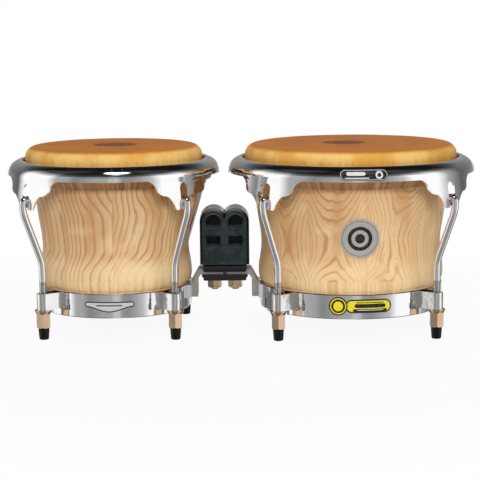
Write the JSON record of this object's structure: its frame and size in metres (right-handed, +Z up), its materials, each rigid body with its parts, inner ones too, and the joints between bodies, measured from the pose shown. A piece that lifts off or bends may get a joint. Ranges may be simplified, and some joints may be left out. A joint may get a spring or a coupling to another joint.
{
  "type": "bongo drums",
  "caption": "Pair of wooden bongo drums with hide heads, chrome rims and tuning rods, joined by a floating centre block.",
  "frame": {"origin": "on the floor under the middle of the pair", "axes": "+X from the small drum to the large one, +Y to the back, +Z up"},
  "size_m": [0.4726, 0.2502, 0.1876],
  "materials": {
    "macho_wood": "satin lacquered ash, wavy upright grain",
    "hembra_wood": "satin lacquered ash, arched cathedral grain",
    "macho_skin": "natural hide head, lightly glossy",
    "hembra_skin": "natural hide head, lightly glossy",
    "macho_skin_side": "natural hide, lighter and glossy where it is stretched",
    "hembra_skin_side": "natural hide, lighter and glossy where it is stretched",
    "rim_chrome": "mirror chrome plated steel",
    "rod_chrome": "mirror chrome plated steel, threaded at the lower end",
    "ring_chrome": "mirror chrome plated steel",
    "bracket_chrome": "chrome plated steel, welded at the ears",
    "nut_chrome": "nickel-tinted chrome plated steel",
    "hoop_steel": "plain steel wire",
    "rubber_foot": "black rubber, satin",
    "block_plastic": "black moulded plastic, satin",
    "black_plate": "black painted steel",
    "strap_metal": "light grey cast metal",
    "zinc_bolt": "yellow zinc plated steel",
    "badge_metal": "brushed, bare"
  },
  "bodies": {
    "frame": {"macho_shell": "macho_wood", "macho_head": "macho_skin", "macho_skin_side": "macho_skin_side", "macho_bottom_ring": "ring_chrome", "macho_brackets": "bracket_chrome", "macho_washers": "nut_chrome", "hembra_shell": "hembra_wood", "hembra_head": "hembra_skin", "hembra_skin_side": "hembra_skin_side", "hembra_bottom_ring": "ring_chrome", "hembra_brackets": "bracket_chrome", "hembra_washers": "nut_chrome", "centre_block": "block_plastic", "block_saddle": "black_plate", "clamp_plate": "black_plate", "macho_strap": "strap_metal", "hembra_strap": "strap_metal", "macho_pad": "ring_chrome", "hembra_pad": "ring_chrome", "clamp_bolt_1": "zinc_bolt", "clamp_bolt_2": "zinc_bolt", "bolt_washer_1": "zinc_bolt", "bolt_washer_2": "zinc_bolt", "shell_badge": "badge_metal"},
    "macho_rim_set": {"macho_rim": "rim_chrome", "macho_flesh_hoop": "hoop_steel", "macho_skin_tuck": "macho_skin_side", "macho_rod_1": "rod_chrome", "macho_rod_2": "rod_chrome", "macho_rod_3": "rod_chrome", "macho_rod_4": "rod_chrome"},
    "macho_lug_1": {"macho_nut_1": "nut_chrome", "macho_foot_1": "rubber_foot"},
    "macho_lug_2": {"macho_nut_2": "nut_chrome", "macho_foot_2": "rubber_foot"},
    "macho_lug_3": {"macho_nut_3": "nut_chrome", "macho_foot_3": "rubber_foot"},
    "macho_lug_4": {"macho_nut_4": "nut_chrome", "macho_foot_4": "rubber_foot"},
    "hembra_rim_set": {"hembra_rim": "rim_chrome", "hembra_flesh_hoop": "hoop_steel", "hembra_skin_tuck": "hembra_skin_side", "hembra_rod_1": "rod_chrome", "hembra_rod_2": "rod_chrome", "hembra_rod_3": "rod_chrome", "hembra_rod_4": "rod_chrome"},
    "hembra_lug_1": {"hembra_nut_1": "nut_chrome", "hembra_foot_1": "rubber_foot"},
    "hembra_lug_2": {"hembra_nut_2": "nut_chrome", "hembra_foot_2": "rubber_foot"},
    "hembra_lug_3": {"hembra_nut_3": "nut_chrome", "hembra_foot_3": "rubber_foot"},
    "hembra_lug_4": {"hembra_nut_4": "nut_chrome", "hembra_foot_4": "rubber_foot"}
  },
  "joints": [
    {"name": "macho_rim_pull", "type": "slide", "parent": "frame", "child": "macho_rim_set", "axis": [0, 0, -1], "range_m": [-0.002, 0.003], "deforming": ["macho_skin_side"]},
    {"name": "macho_lug_1_turn", "type": "hinge", "parent": "frame", "child": "macho_lug_1", "pos_m": [-0.06614, -0.06827, 0.019], "axis": [0, 0, 1], "range_deg": [-722, 1082]},
    {"name": "macho_lug_2_turn", "type": "hinge", "parent": "frame", "child": "macho_lug_2", "pos_m": [-0.06043, 0.06256, 0.019], "axis": [0, 0, 1], "range_deg": [-722, 1082]},
    {"name": "macho_lug_3_turn", "type": "hinge", "parent": "frame", "child": "macho_lug_3", "pos_m": [-0.19126, 0.06827, 0.019], "axis": [0, 0, 1], "range_deg": [-722, 1082]},
    {"name": "macho_lug_4_turn", "type": "hinge", "parent": "frame", "child": "macho_lug_4", "pos_m": [-0.19697, -0.06256, 0.019], "axis": [0, 0, 1], "range_deg": [-722, 1082]},
    {"name": "hembra_rim_pull", "type": "slide", "parent": "frame", "child": "hembra_rim_set", "axis": [0, 0, -1], "range_m": [-0.002, 0.003], "deforming": ["hembra_skin_side"]},
    {"name": "hembra_lug_1_turn", "type": "hinge", "parent": "frame", "child": "hembra_lug_1", "pos_m": [0.19052, -0.07607, 0.019], "axis": [0, 0, 1], "range_deg": [-722, 1082]},
    {"name": "hembra_lug_2_turn", "type": "hinge", "parent": "frame", "child": "hembra_lug_2", "pos_m": [0.18727, 0.07932, 0.019], "axis": [0, 0, 1], "range_deg": [-722, 1082]},
    {"name": "hembra_lug_3_turn", "type": "hinge", "parent": "frame", "child": "hembra_lug_3", "pos_m": [0.03188, 0.07607, 0.019], "axis": [0, 0, 1], "range_deg": [-722, 1082]},
    {"name": "hembra_lug_4_turn", "type": "hinge", "parent": "frame", "child": "hembra_lug_4", "pos_m": [0.03513, -0.07932, 0.019], "axis": [0, 0, 1], "range_deg": [-722, 1082]}
  ],
  "couplings": [
    {"joint": "macho_lug_1_turn", "follows": "macho_rim_pull", "rad_per_m": 6283.2},
    {"joint": "macho_lug_2_turn", "follows": "macho_rim_pull", "rad_per_m": 6283.2},
    {"joint": "macho_lug_3_turn", "follows": "macho_rim_pull", "rad_per_m": 6283.2},
    {"joint": "macho_lug_4_turn", "follows": "macho_rim_pull", "rad_per_m": 6283.2},
    {"joint": "hembra_lug_1_turn", "follows": "hembra_rim_pull", "rad_per_m": 6283.2},
    {"joint": "hembra_lug_2_turn", "follows": "hembra_rim_pull", "rad_per_m": 6283.2},
    {"joint": "hembra_lug_3_turn", "follows": "hembra_rim_pull", "rad_per_m": 6283.2},
    {"joint": "hembra_lug_4_turn", "follows": "hembra_rim_pull", "rad_per_m": 6283.2}
  ]
}
